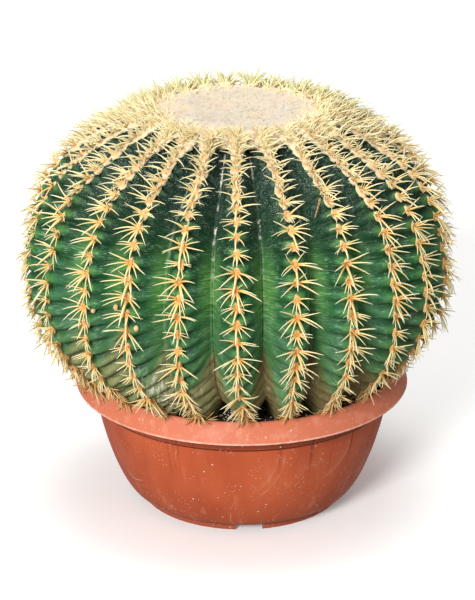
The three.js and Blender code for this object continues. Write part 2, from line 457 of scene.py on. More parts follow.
def skin_material():
    """Waxy plant cuticle, grown: satin, cloudy with wax and a painted bluish sheen, dusty near the crown, and
    corky where it is old.
    """
    own = settings("stem")
    made, tree, height = material("waxy_cuticle")
    across, swell, cork, scar, crease, leaf, sag, lichen = marks_of(
        tree, "across", "swell", "cork", "scar", "crease", "leaf", "sag", "lichen")
    upright = where(tree, (1, 1, 0.3))
    level = times(tree, (height, 150 * MM, 352 * MM))
    green = add(tree, "ValToRGB", level,
                stops=((0.0, "#537C46"), (0.2, "#396843"), (0.42, own.green), (0.62, "#235730"),
                       (0.8, "#1C3E26"), (1.0, own.crown_green)))

    # Veins about 2 mm apart fan out of each groove like a feather's barbs, and wax and dust lie along them
    vein_way = add(tree, "CombineXYZ", times(tree, leaf, 14 * MM), times(tree, across, 6 * MM))
    veins = cloud(tree, 2.2 * MM, 3, 0.6, vein_way)
    bands = cloud(tree, 7 * MM, 2, 0.5, vein_way)
    wax_bloom_and_sheen = times(tree, (cloud(tree, 20 * MM, 3, 0.6), 0.42, 0.64), (veins, 0.4, 0.66, 0.2, 0.9),
                  (level, 0.9, 0.5))
    valley = times(tree, (across, 0.42, 0.82), (level, 0.84, 0.56), (level, 0.3, 0.52, 0.4, 1))
    green = painted(
        tree, green,
        # Wax bloom, and with it a painted bluish sheen that stands for the reflection of the bright room
        (wax_bloom_and_sheen, 0.4, "#6C9C80"),
        # Pale threads
        ((cloud(tree, 1.3 * MM, 3, 0.65, vein_way), 0.5, 0.64),
         (cloud(tree, 13 * MM, 3), 0.4, 0.6, 0.12, 0.75), (level, 1.0, 0.7), "#8DB08F"),
        ((bands, 0.5, 0.68, 0, 0.45), "#1C4A2B"),
        # Painted highlight on the tops of the swellings beside the crests
        (add(tree, "Math", swell, 3.5, operation="POWER"), (across, 0.34, 0.08),
         (level, 1.0, 0.86, 0.15, 0.5), (level, 0.08, 0.36, 0.35, 1), own.swelling_highlight),
        # The valleys between the ribs, with pale and dark veins
        (valley, 0.72, "#639A4D"),
        (valley, (veins, 0.5, 0.68, 0, 0.6), "#A9C48A"),
        (valley, (veins, 0.5, 0.34, 0, 0.5), "#2E6134"),
        # Shade between the swellings and at the bottom of the grooves
        (add(tree, "Math", 1.0, swell, operation="SUBTRACT"), (across, 0.8, 0.25, 0.1, 0.9), "#0E3119"),
        ((across, 0.955, 0.99), (cloud(tree, 9 * MM), 0.3, 0.55, 0.3, 0.85), "#232C16"),
        # Dust is finer than 0.2 mm, and its specks are drawn at 0.5 mm so that they show
        ((height, 285 * MM, 340 * MM, 0, 0.5), (cloud(tree, 4 * MM, 5, 0.8), 0.5, 0.66), "#7D9083"),
        (specks(tree, 1.4 * MM, 0.5 * MM), (height, 272 * MM, 338 * MM),
         (cloud(tree, 9 * MM), 0.36, 0.6), 0.65, "#B8C3B9"))

    # Cork is olive, with painted shade in its folds, and pale rubbed wisps
    fold = add(tree, "Math", times(tree, crease, math.pi), operation="SINE")
    fold = add(tree, "Math", add(tree, "Math", fold, operation="ABSOLUTE"), 0.6, operation="POWER")
    bark = painted(
        tree, add(tree, "ValToRGB", cloud(tree, 14 * MM, 4, 0.6),
                  stops=((0.3, "#728A56"), (0.5, own.cork), (0.72, "#B3AE86"))),
        ((cloud(tree, 1.8 * MM, 3, 0.6, where(tree, (1, 1, 0.25))), 0.42, 0.62, 0, 0.3), "#54572F"),
        # Greener where it sags, at the left, and browner elsewhere
        ((sag, 0.4, 1.0, 0, 0.5), "#6B7A4A"),
        ((sag, 0.75, 0.3, 0, 0.75), "#64552F"),
        # Painted shade in the folds, deepest where the cork sags
        (add(tree, "Math", 1.0, fold, operation="SUBTRACT"), sag, 0.85, "#33371E"),
        # Painted shade at the bottom of the grooves
        ((across, 0.85, 0.99), (cloud(tree, 8 * MM), 0.35, 0.6, 0.2, 0.7), "#5F4A30"),
        ((cloud(tree, 3 * MM, 5, 0.7, upright), 0.55, 0.75, 0, 0.5), "#C9C4AA"))

    # Over both lie a pale streak at the left foot and torn scars along the grooves
    ragged = add(tree, "Math", across, times(tree, (cloud(tree, 2.5 * MM, 3, 0.6), 0.3, 0.7, -0.06, 0.05)),
                 operation="ADD")
    colour = painted(
        tree, green,
        (cork, bark),
        (lichen, (cloud(tree, 3.5 * MM, 5, 0.75, upright), 0.49, 0.6), 0.8, "#D6D5C8"),
        (scar, (ragged, 0.93, 0.965), "#CFCDBF"))
    dull = largest(tree, cork, times(tree, (height, 300 * MM, 350 * MM, 0, 0.6)), wax_bloom_and_sheen)
    relief = raised(
        tree, (cloud(tree, 3 * MM, 4), 0.5 * MM, 0.35), (veins, 0.6 * MM, 0.6), (bands, 1.2 * MM, 0.6),
        (times(tree, fold, sag, cork), 2.5 * MM, 0.8))
    return finished(made, {"Base Color": colour, "Roughness": times(tree, (dull, 0, 1, 0.46, 0.85)),
                           "IOR": 1.4, "Specular IOR Level": 0.24, "Normal": relief})


def horn_material():
    """Spine horn, grown: hard smooth fibre, orange at the root and straw to cream at the tip."""
    own = settings("spines")
    made, tree, _ = material("spine_horn")
    along, shade, age, young = marks_of(tree, "along", "shade", "age", "young")
    # Young spines are paler, and those at the back have a painted greenish shade
    back = add(tree, "SeparateXYZ", where(tree), give="Y")
    young_tint_and_back_shade = painted(tree, "#E9DDB2", ((back, 10 * MM, 70 * MM), "#D3D5A2"))
    colour = painted(
        tree, add(tree, "ValToRGB", along,
                  stops=((0.0, own.root), (0.11, "#F0BA6C"), (0.3, own.middle), (0.8, own.tip))),
        (shade, 0.35, "#E5BE6E"), (young, 0.75, young_tint_and_back_shade), (age, own.old))

    # Light passes through about a millimetre of horn
    return finished(made, {"Base Color": colour, "Roughness": 0.42, "IOR": 1.5, "Subsurface Weight": 0.45,
                           "Subsurface Radius": (1.0, 0.6, 0.3), "Subsurface Scale": 1.2 * MM})


def felt_material():
    """Areole felt, grown: short matted hairs, orange tan, paler beside the crown."""
    own = settings("spines")
    made, tree, height = material("areole_felt")
    middle, = marks_of(tree, "middle")
    colour = painted(
        tree, add(tree, "ValToRGB", times(tree, (height, 130 * MM, 358 * MM)),
                  stops=((0.0, "#AC773B"), (0.25, own.felt), (0.65, "#F2B972"), (0.82, "#F5CE8E"),
                         (0.92, "#F5D7A4"), (1.0, "#EEDCBA"))),
        ((cloud(tree, 1.6 * MM, 4), 0.4, 0.7, 0, 0.4), "#F7DCA4"),
        ((middle, 0.3, 0.8), (height, 361 * MM, 350 * MM), 0.6, "#F09C42"))
    return finished(made, {"Base Color": colour, "Roughness": 1.0, "Sheen Weight": 0.25,
                           "Subsurface Weight": 0.4, "Subsurface Radius": (1.0, 0.75, 0.5),
                           "Subsurface Scale": 2 * MM,
                           "Normal": raised(tree, (cloud(tree, 0.8 * MM, 4, 0.7), 0.8 * MM, 0.8))})


def wool_material():
    """Plant wool, grown and matted by weather: cream, matte, with tan patches, grey patches in the hollow and
    dark specks.
    """
    own = settings("crown")
    made, tree, _ = material("plant_wool")
    reach = add(tree, "VectorMath", where(tree, (1, 1, 0)), operation="LENGTH")
    hollow = add(tree, "VectorMath", where(tree, (0.6, 1.4, 0), (-6 * MM, -14 * MM, 0)), operation="LENGTH")
    colour = painted(
        tree, add(tree, "ValToRGB", cloud(tree, 28 * MM, 3, 0.5),
                  stops=((0.3, "#CCBCA0"), (0.5, own.colour), (0.7, "#C9BFAD"))),
        ((cloud(tree, 22 * MM, 3, 0.5, where(tree, centre=(0.1, 0.2, 0))), 0.48, 0.66, 0, 0.4), "#E4C49B"),
        # Warm fringe, grey patches in and in front of the hollow, and dark specks
        ((reach, 46 * MM, 70 * MM), (cloud(tree, 7 * MM, 3), 0.3, 0.6, 0.3, 1), 0.75, "#ECD2A8"),
        ((hollow, 30 * MM, 6 * MM), (cloud(tree, 2.5 * MM, 4, 0.7), 0.5, 0.66), 0.7, "#9A8A78"),
        (specks(tree, 6 * MM, 1.3 * MM), (cloud(tree, 14 * MM), 0.5, 0.56), 0.8, "#5C4630"))
    return finished(made, {"Base Color": colour, "Roughness": 1.0, "Sheen Weight": 0.4,
                           "Normal": raised(tree, (cloud(tree, 1.4 * MM, 4, 0.6), 1.0 * MM, 0.2))})


def soil_material():
    """Peat potting mix, damp: nearly black brown crumbs with paler dry ones."""
    own = settings("soil")
    made, tree, _ = material("peat_mix")
    colour = add(tree, "ValToRGB", cloud(tree, own.grain, 5, 0.7),
                 stops=((0.35, "#33281E"), (0.55, own.colour), (0.72, "#9A846D")))
    return finished(made, {"Base Color": colour, "Roughness": 0.95,
                           "Normal": raised(tree, (cloud(tree, own.grain / 2, 5, 0.7), 1.5 * MM, 0.9))})


def plain_material(name, colour, second, size, values):
    """A matte material whose colour wanders between two, over lumps of that size."""
    made, tree, _ = material(name)
    mottled = painted(tree, colour, ((cloud(tree, size), 0.35, 0.65), second))
    return finished(made, {"Base Color": mottled, **values})


def plastic_material():
    """Polypropylene, injection moulded: matte orange brown with dust, drip marks, flecks and scratches."""
    own = settings("pot")
    made, tree, height = material("moulded_polypropylene")
    pot = (POT_X, 0, 0)

    # Drips run straight down from under the rim, 1 to 3 mm wide
    x, y, z = (add(tree, "SeparateXYZ", where(tree, centre=pot), give=axis) for axis in "XYZ")
    round_pot = times(tree, add(tree, "Math", x, y, operation="ARCTAN2"), LIP_RADIUS)
    down = add(tree, "CombineXYZ", round_pot, times(tree, z, 0.02))

    # Painted shade, with some dirt, darkens the ledge under the neck and the crease above the foot, and
    # painted shade darkens the neck, which is always in the rim's shade
    dirt_and_crevice_shade = largest(
        tree, times(tree, (height, 95.2 * MM, 96.4 * MM), (height, 98.6 * MM, 97.4 * MM), 0.9),
        times(tree, (height, 97.2 * MM, 98 * MM, 0, 0.45)),
        times(tree, (height, 11 * MM, 6.8 * MM), (height, 5.3 * MM, 6.2 * MM), 0.9))
    rim = painted(
        tree, own.rim_colour,
        ((cloud(tree, 10 * MM, 5, 0.65, where(tree, centre=pot)), 0.45, 0.75), 0.4, "#EBA488"),
        # Painted highlight along the lip's lower edge
        ((height, 110.9 * MM, 109.9 * MM), (cloud(tree, 6 * MM, 4), 0.35, 0.6, 0.35, 1), 0.75, "#F6C8B4"))
    flecks = largest(
        tree, times(tree, specks(tree, 7 * MM, 1.0 * MM), (cloud(tree, 14 * MM), 0.5, 0.6), 0.75),
        times(tree, specks(tree, 2.8 * MM, 0.6 * MM), (cloud(tree, 17 * MM), 0.46, 0.62), 0.5))
    colour = painted(
        tree, add(tree, "ValToRGB", cloud(tree, 45 * MM, 3, 0.5, where(tree, (1, 1, 0.6), pot)),
                  stops=((0.3, "#AC4C2C"), (0.6, own.colour), (0.8, "#C4623C"))),
        ((height, 62 * MM, 14 * MM, 0, 0.4), "#A0452A"),
        ((cloud(tree, 3.5 * MM, 2, 0.5, down), 0.57, 0.63), (cloud(tree, 30 * MM, 1, 0.5, down), 0.45, 0.58),
         (height, 45 * MM, 92 * MM), (height, 112 * MM, 100 * MM), 0.7, "#7A321C"),
        ((cloud(tree, 12 * MM, 3, 0.6, where(tree, (1, 1, 0.08), (0.3, 0, 0))), 0.54, 0.7),
         (height, 100 * MM, 40 * MM), 0.35, "#D98A68"),
        # Painted shade with some dirt in the crevices, and painted shade on the neck
        (dirt_and_crevice_shade, "#521F0F"),
        ((height, 6 * MM, 5 * MM, 0, 0.6), "#934D37"),
        ((height, 107.5 * MM, 108.4 * MM), rim),
        (flecks, "#F0D9CC"))

    # Something wiped past left two pale arcs of fine lines on the front
    for centre, radius in ((58 * MM, 39 * MM), (-17 * MM, 55 * MM)):
        flat = where(tree, (1, 0, 1), (centre, 0, 92 * MM))
        reach = add(tree, "VectorMath", flat, operation="LENGTH")
        lines = cloud(tree, 2.2 * MM, 2, 0.5, add(tree, "CombineXYZ", reach))
        colour = painted(tree, colour, (
            (lines, 0.48, 0.6), (apart(tree, reach, radius), 6 * MM, 3 * MM),
            (add(tree, "SeparateXYZ", flat), radius * 0.35, radius * 0.6),
            (cloud(tree, 9 * MM), 0.35, 0.6, 0.05, 0.32),
            (height, 92 * MM, 84 * MM), (height, 38 * MM, 52 * MM), "#E9A687"))

    # Scratches follow thin level lines of a large cloud
    line = apart(tree, cloud(tree, 60 * MM, 1, 0.4, where(tree, (1, 1, 0.7), pot)), 0.5)
    colour = painted(tree, colour, ((line, 0.005, 0.001), (cloud(tree, 30 * MM), 0.55, 0.62),
                                    (height, 104 * MM, 96 * MM), 0.5, "#E7B49C"))
    return finished(made, {"Base Color": colour, "IOR": 1.49, "Specular IOR Level": 0.2,
                           "Roughness": times(tree, (cloud(tree, 18 * MM, 4), 0.3, 0.7, 0.42, 0.62)),
                           "Normal": raised(tree, (cloud(tree, 1.5 * MM, 3), 0.15 * MM, 0.4))})


# Shape of the stem

def crest_at(tilt):
    """Radius and height of a rib's crest, and its outward direction, at a tilt from the waist in radians."""
    reach = np.where(tilt < 0, BELOW, ABOVE)
    height = WAIST + reach * np.sin(tilt)
    fuller = SHOULDER_SWELL * hump(height, SHOULDER_HEIGHT, SHOULDER_SPAN)
    spread = 2 * (SHOULDER_HEIGHT - height) / SHOULDER_SPAN ** 2 * fuller
    radius = STEM_RADIUS * np.cos(tilt) + fuller
    out = np.cos(tilt) / STEM_RADIUS
    up = np.sin(tilt) / reach - spread * out
    size = np.hypot(out, up)
    flat = ease(radius, CROWN_RADIUS * 0.8, CROWN_RADIUS * 1.05)
    level = np.minimum(height, CROWN_TOP)
    return radius, np.where(tilt > 0, level + (height - level) * flat, height), out / size, up / size


TILTS = np.linspace(FOOT_TILT, CROWN_TILT, CREST_STEPS)
CREST = np.stack(crest_at(TILTS)[:2], -1)
ARC = np.concatenate([[0], np.cumsum(np.linalg.norm(np.diff(CREST, axis=0), axis=1))])
TAPER_ARC = ARC[-1] - TAPER

# The crest's line rises steadily over its first four fifths
RISING = slice(CREST_STEPS * 4 // 5)
SOIL_ARC = np.interp(SOIL_TOP, CREST[RISING, 1], ARC[RISING])


def areole_count(arc):
    """How many areoles a rib has below a place on its crest. They close up towards the crown."""
    own = settings("spines")
    wide, close = own.spacing, own.crown_spacing
    span = ARC[-1] - TAPER_ARC
    beyond = np.clip(arc - TAPER_ARC, 0, span)
    rate = (wide - close) / span
    return np.minimum(arc, TAPER_ARC) / wide - np.log(1 - rate * beyond / wide) / rate


def stagger(rib):
    """How far a rib's areoles are shifted, as a share of their spacing, so that neighbours don't line up."""
    return rib % settings("stem").ribs * 0.618 + 0.15 * np.sin(rib * 2.4)


def skin(rib, tilt):
    """Place of the stem's skin at a rib number, whose fraction runs to the next rib, and a tilt.

    Gives the points, the crest's outward and upward directions there, and what the material reads."""
    own = settings("stem")
    radius, height, out, up = crest_at(tilt)
    arc = np.interp(tilt, TILTS, ARC)
    nearest = np.round(rib)
    across = 2 * np.abs(rib - nearest)

    # Ribs wander a little, crowd in two places, and all lean one way at the foot
    def bearing(number):
        number = (number + own.ribs // 2) % own.ribs - own.ribs // 2
        crowded = 0.052 * hump(number, -3, 1.1) - 0.035 * hump(number, 4, 1.0)
        lean = 0.045 * ease_mm(height, 175, 115)
        wander = grain(np.stack([number % own.ribs * 5.3, height / (70 * MM), 0 * height], -1), 1.0, 3)
        return crowded + lean + wander * (0.008 + 0.012 * ease_mm(height, 190, 130))

    lower = np.floor(rib)
    part = rib - lower
    turn = rib * TURN / own.ribs + (1 - part) * bearing(lower) + part * bearing(lower + 1)
    base = around(turn, radius, height)

    # Groove: round at the crest and sharp at the bottom, and shallower where the globe draws in over the soil
    rounding, power = 0.14, 1.5
    press = (across ** 2 + rounding ** 2) ** (power / 2) - rounding ** power
    press = press / ((1 + rounding ** 2) ** (power / 2) - rounding ** power)
    depth = own.rib_depth * np.where(tilt > 0, radius / STEM_RADIUS, 1 + 0.05 * ease(-tilt, 0.45, 0.8))
    depth = depth * ease_mm(radius, 62, 80) * ease_mm(height, 98, 112)
    depth = depth * (1 - 0.62 * ease_mm(np.abs(height - 146 * MM), 42, 0))

    # Each areole sits on a swelling, and veins run down from the groove to the crest
    phase = areole_count(arc) + stagger(nearest)
    swell = np.abs(np.cos(math.pi * (phase - 0.15 - 0.15 * across))) ** 0.55
    fall = 0.1 + 0.75 * ease_mm(height, 235, 160)
    leaf = areole_count(arc) - fall * across + 0.4 * grain(base, 30 * MM, 9)
    lift = own.bulge * (swell - 0.6) * ease(across, 0.95, 0.15) + 0.9 * MM * grain(base, 24 * MM, 7)

    # Old skin at the foot is corky and sags in folds, most of all at the left
    patch = grain(base, 38 * MM, 21)
    left_front = hump(turn, -0.75, 0.55)
    edge = 148 * MM + 38 * MM * across ** 2 + 14 * MM * patch + 24 * MM * left_front
    cork = ease_mm(edge - height, -8, 8)
    crease = 1.25 * phase - 0.25 * across + 0.5 * patch
    sag = 0.25 + 0.75 * left_front
    fold = np.abs(np.sin(math.pi * crease)) ** 0.6 - 0.7
    folds = 3.2 * MM * sag * fold * ease(across, 0, 0.25) * ease(across, 1, 0.88)
    lift = (lift + cork * (folds + 0.8 * MM * grain(base, 6 * MM, 5))) * ease_mm(radius, 60, 72)

    # The globe bellies out at the left, and its flanks puff up beside the areoles
    lift = lift + 4.5 * MM * hump(turn, -1.5, 0.6) * hump(height, 240 * MM, 38 * MM)
    puff = own.puff * (swell - 0.62) * ease(across, 0, 0.2) * ease(across, 0.8, 0.3) * (1 - 0.6 * cork)
    turn = turn + np.sign(rib - nearest) * puff * ease_mm(radius, 70, 100) / radius

    # Pale scars run along the bottoms of some grooves, most of all of the two beside the front rib
    groove = lower % own.ribs
    few = 0.3 * (np.sin(groove * 12.9) > 0.2)
    torn = np.where(groove == own.ribs - 1, 1.0, np.where(groove == 0, 0.75, few))
    scar = torn * ease(across, 0.88, 0.9) * ease(grain(base, 6 * MM, 31), -0.1, 0.15)
    scar = scar * ease_mm(height, 235, 285) * (0.3 + 0.7 * ease_mm(height, 275, 300))
    lichen = hump(rib + (height - 150 * MM) / (120 * MM), -1.7, 0.2) * ease_mm(height, 190, 165)

    shift = lift - depth * press
    points = around(turn, radius + out * shift, height + up * shift)
    marks = {"across": across, "swell": swell, "leaf": leaf, "crease": crease, "sag": sag, "cork": cork,
             "scar": scar, "lichen": lichen}
    return points, around(turn, out, up), around(turn, -up, out), marks


def areole_places():
    """Rib number and tilt of every areole. At the foot three more on each rib stand between the lowest."""
    ribs, tilts = [], []
    fine = np.linspace(SOIL_ARC + 2 * MM, ARC[-1] - 1 * MM, 4000)
    for rib in range(settings("stem").ribs):
        count = areole_count(fine) + stagger(rib)
        numbers = np.arange(math.ceil(count[0]), math.floor(count[-1]) + 1)
        arcs = np.interp(np.concatenate([numbers, numbers[:3] + 0.5]), count, fine)
        ribs.append(np.full(len(arcs), float(rib)))
        tilts.append(np.interp(arcs, ARC, TILTS))
    return np.concatenate(ribs), np.concatenate(tilts)


# Spines

# Sides of a spine, and the place and width of each section between its root and its tip
HORN = (5, ((0.15, 0.86), (0.4, 0.8), (0.66, 0.74), (0.88, 0.6)))
HAIR = (3, ((0.35, 0.9), (0.7, 0.7)))

# Spines of one areole: turn from straight up and lift off the skin in degrees, share of the full length,
# chances of being there at the waist and beside the crown, and thickness. Those at the side are in pairs
SPINES = [
    (side * turn, *rest) for turn, *rest in (
        (180, 40, 1.0, 0.97, 0.7, 1.4),
        (68, 42, 0.95, 0.92, 0.65, 1.0),
        (91, 39, 1.0, 0.95, 0.65, 1.05),
        (117, 41, 0.97, 0.9, 0.6, 1.0),
        (149, 46, 0.85, 0.66, 0.5, 1.0),
        (38, 50, 0.55, 0.75, 0.5, 0.8),
        (104, 62, 0.55, 0.45, 0.5, 0.9),
        (0, 68, 0.5, 0.0, 0.8, 1.1),
        (150, 60, 0.5, 0.0, 0.8, 1.1),
    ) for side in ((1, -1) if turn % 180 else (1,))
]


def spine_template(sides, sections):
    """One straight spine of unit length and radius, drawn out of its base."""
    bpy.ops.mesh.primitive_circle_add(vertices=sides, radius=1, fill_type="NGON")
    edit_all()
    bpy.ops.mesh.flip_normals()
    last = 0
    for place, width in sections:
        bpy.ops.mesh.extrude_region_move(TRANSFORM_OT_translate={"value": (0, 0, place - last)})
        bpy.ops.transform.resize(value=(width, width, 1))
        last = place
    bpy.ops.mesh.extrude_region_move(TRANSFORM_OT_translate={"value": (0, 0, 1 - last)})
    bpy.ops.mesh.merge(type="CENTER")
    bpy.ops.mesh.select_all(action="SELECT")
    bpy.ops.mesh.normals_make_consistent(inside=False)
    bpy.ops.object.mode_set(mode="OBJECT")
    return template()


def place_spines(name, kind, roots, ways, sags, lengths, widths, shade, age, young, curl):
    """One piece with a spine on each root, bent along its sag."""
    points, faces = spine_template(*kind)
    along = points[:, 2]
    first = unit(np.cross(ways, sags))
    second = np.cross(ways, first)
    wide = widths[:, None]
    out = set_on(roots, points[None], first * wide, second * wide, ways * lengths[:, None])
    out = out - second[:, None] * ((curl * lengths)[:, None] * along[None] ** 2)[..., None]
    piece = stamped(name, out, faces)
    shade, age, young = (np.repeat(value, len(points)) for value in (shade, age, young))
    mark(piece, along=np.tile(along, len(lengths)), shade=shade, age=age, young=young)
    return piece


def clear_of_pot(roots, ways, lengths):
    """Turns spines up until their tips stand clear of the rim and the soil."""
    clearance, nudge, rounds = 1.0 * MM, 0.12, 14
    band_radius, fall = LIP_RADIUS - 10 * MM, 1.6
    for _ in range(rounds):
        for share in (0.6, 1.0):
            tips = roots + ways * (lengths * share)[:, None]
            reach = np.hypot(tips[:, 0] - POT_X, tips[:, 1])
            band = RIM_TOP - (reach - band_radius) * fall
            top = np.where(reach > LIP_RADIUS + 1 * MM, -1.0, np.minimum(RIM_TOP, band))
            top = np.where(reach < LIP_RADIUS - 13 * MM, SOIL_TOP, top)
            ways[tips[:, 2] < top + clearance, 2] += nudge
        ways = unit(ways)
    return ways


def left_foot(points):
    """1 low on the left, where old spines are long and bushy, and 0 elsewhere."""
    return hump(turn_of(points), -1.6, 0.65) * ease_mm(points[:, 2], 205, 165)


def spine_numbers():
    """What place_spines needs for every spine on the ribs, but for their curl."""
    own = settings("spines")
    rng = np.random.default_rng(own.seed)
    points, outward, upward, _ = skin(*areole_places())
    sideways = np.cross(upward, outward)
    height, places = points[:, 2], len(points)
    crown = ease_mm(height, 292, 354)
    foot = ease_mm(height, 163, 133)
    bushy = left_foot(points)

    # Large and small areoles alternate at random, and spines shorten downwards but for the left foot
    large = rng.random(places) < 0.32 + 0.3 * ease_mm(height, 190, 250)
    scale = np.where(large, rng.uniform(0.92, 1.1, places), rng.uniform(0.58, 0.78, places))
    scale = scale * (1 - crown) + rng.uniform(0.72, 0.98, places) * crown
    low = 0.28 * foot + 0.12 * ease_mm(height, 225, 165)
    scale = scale * (1 - low * (1 - bushy)) * (1 + 0.45 * bushy)
    found = []
    for turn, lift, share, chance, young_chance, thick in SPINES:
        more = max(young_chance - chance, 0) * bushy
        keep = rng.random(places) < chance + (young_chance - chance) * crown + more
        angle = np.radians(turn + rng.normal(0, 7 + 14 * foot))
        rise = np.radians(lift + rng.normal(0, 6 + 10 * foot) + crown * rng.uniform(-8, 34, places))
        along = upward * np.cos(angle)[:, None] + sideways * np.sin(angle)[:, None]
        way = unit(along * np.cos(rise)[:, None] + outward * np.sin(rise)[:, None])
        size = own.length * share * scale * rng.uniform(0.88, 1.12, places)
        root = points + along * (1.3 * MM) + outward * (0.6 * MM)
        sag = unit(rng.normal(0, 0.35, (places, 3)) - outward * 0.45 - upward * 0.6)
        fat = np.full(places, thick)
        found.append([value[keep] for value in (root, way, sag, size, fat, foot, crown)])
    roots, ways, sags, lengths, fat, foot, young = (np.concatenate(part) for part in zip(*found))
    ways = clear_of_pot(roots, ways, lengths)
    count = len(lengths)
    widths = own.thickness / 2 * fat * (0.6 + 0.4 * lengths / own.length) * rng.uniform(0.85, 1.15, count)
    widths = widths * (1 + 0.08 * young + 0.15 * foot + 0.3 * left_foot(roots))
    age = np.clip(foot * rng.uniform(0.45, 1.0, count) + 0.1 * rng.random(count) ** 3, 0, 1)
    return roots, ways, sags, lengths, widths, rng.random(count), age, young


# Operators

class CACTUS_OT_stem(bpy.types.Operator):
    """Wraps a sheet into the ribbed globe, with swellings, pleats and a corky foot"""

    bl_idname = "cactus.stem"
    bl_label = "Stem"

    def execute(self, context):
        own = settings("stem")
        piece, turn, place = sheet("stem_skin", own.ribs * own.samples, own.rings)

        # Most of the sheet follows the crest's line, and the rest of it closes the foot and the crown
        under, shown = 0.015, 0.95
        share = (place - under) / shown
        tilt = np.interp(share * ARC[-1], ARC, TILTS)
        foot, crown = share < 0, share > 1
        tilt[foot] = np.interp(place[foot], [0, under], [-math.pi / 2, FOOT_TILT])
        tilt[crown] = np.interp(place[crown], [under + shown, 1], [CROWN_TILT, math.pi / 2])
        points, _, _, marks = skin(turn * own.ribs / TURN, tilt)
        mark(piece, **marks)
        wrap(piece, points)
        finish_piece(piece, skin_material(), "stem_skin", "stem")
        return {"FINISHED"}


class CACTUS_OT_spines(bpy.types.Operator):
    """Sets felt areoles up every rib and a star of curved spines on each"""

    bl_idname = "cactus.spines"
    bl_label = "Spines and areoles"

    def execute(self, context):
        rng = np.random.default_rng(settings("spines").seed + 1)
        numbers = spine_numbers()
        roots, age, young = numbers[0], numbers[-2], numbers[-1]
        curl = rng.uniform(0.12, 0.42, len(roots)) + 0.08 * young + 0.15 * age
        horn, felt = horn_material(), felt_material()
        third = np.floor((turn_of(roots) / TURN + 0.5) * 3).astype(int) % 3
        for number, name in enumerate(("spines_left", "spines_front", "spines_right")):
            chosen = [value[third == number] for value in (*numbers, curl)]
            finish_piece(place_spines(name, HORN, *chosen), horn, "spine_horn", "spines")

        # Each areole is a low ball of lumpy felt, and those beside the crown run together
        points, outward, upward, _ = skin(*areole_places())
        sideways = np.cross(upward, outward)
        places, height = len(points), points[:, 2]
        bpy.ops.mesh.primitive_uv_sphere_add(segments=12, ring_count=8, radius=1)
        ball, faces = template()
        crown = ease_mm(height, 288, 334)
        merge = ease_mm(height, 351, 359)
        size = rng.uniform(0.85, 1.15, places) * MM
        axes = (sideways * ((2.8 + 1.2 * crown + 3.5 * merge) * size)[:, None],
                upward * ((4.6 + 1.1 * crown + 1.2 * merge) * size)[:, None],
                outward * ((1.9 + 0.5 * crown) * size)[:, None])
        lumps = (0.12 + 0.04 * crown)[:, None, None] * rng.normal(0, 1, (places, len(ball), 1))
        points = points + sideways * (crown * rng.normal(0, 0.9 * MM, places))[:, None]
        cushions = stamped("areole_felt", set_on(points, ball[None] * (1 + lumps), *axes), faces)
        middle = ball[:, 2] * ease(1.6 - 1.6 * np.abs(ball[:, 1]))
        mark(cushions, middle=np.tile(middle, places))
        finish_piece(cushions, felt, "spine_horn", "spines")
        return {"FINISHED"}


def crown_level(reach):
    """Height from the wool's highest level, at a distance from the axis: a dish with a rolled edge."""
    dip, roll, roll_width = settings("crown").dip, 8 * MM, 20 * MM
    return dip * ease_mm(reach, 14, 54) - dip - roll * ease(reach, WOOL_EDGE - roll_width, WOOL_EDGE) ** 1.3


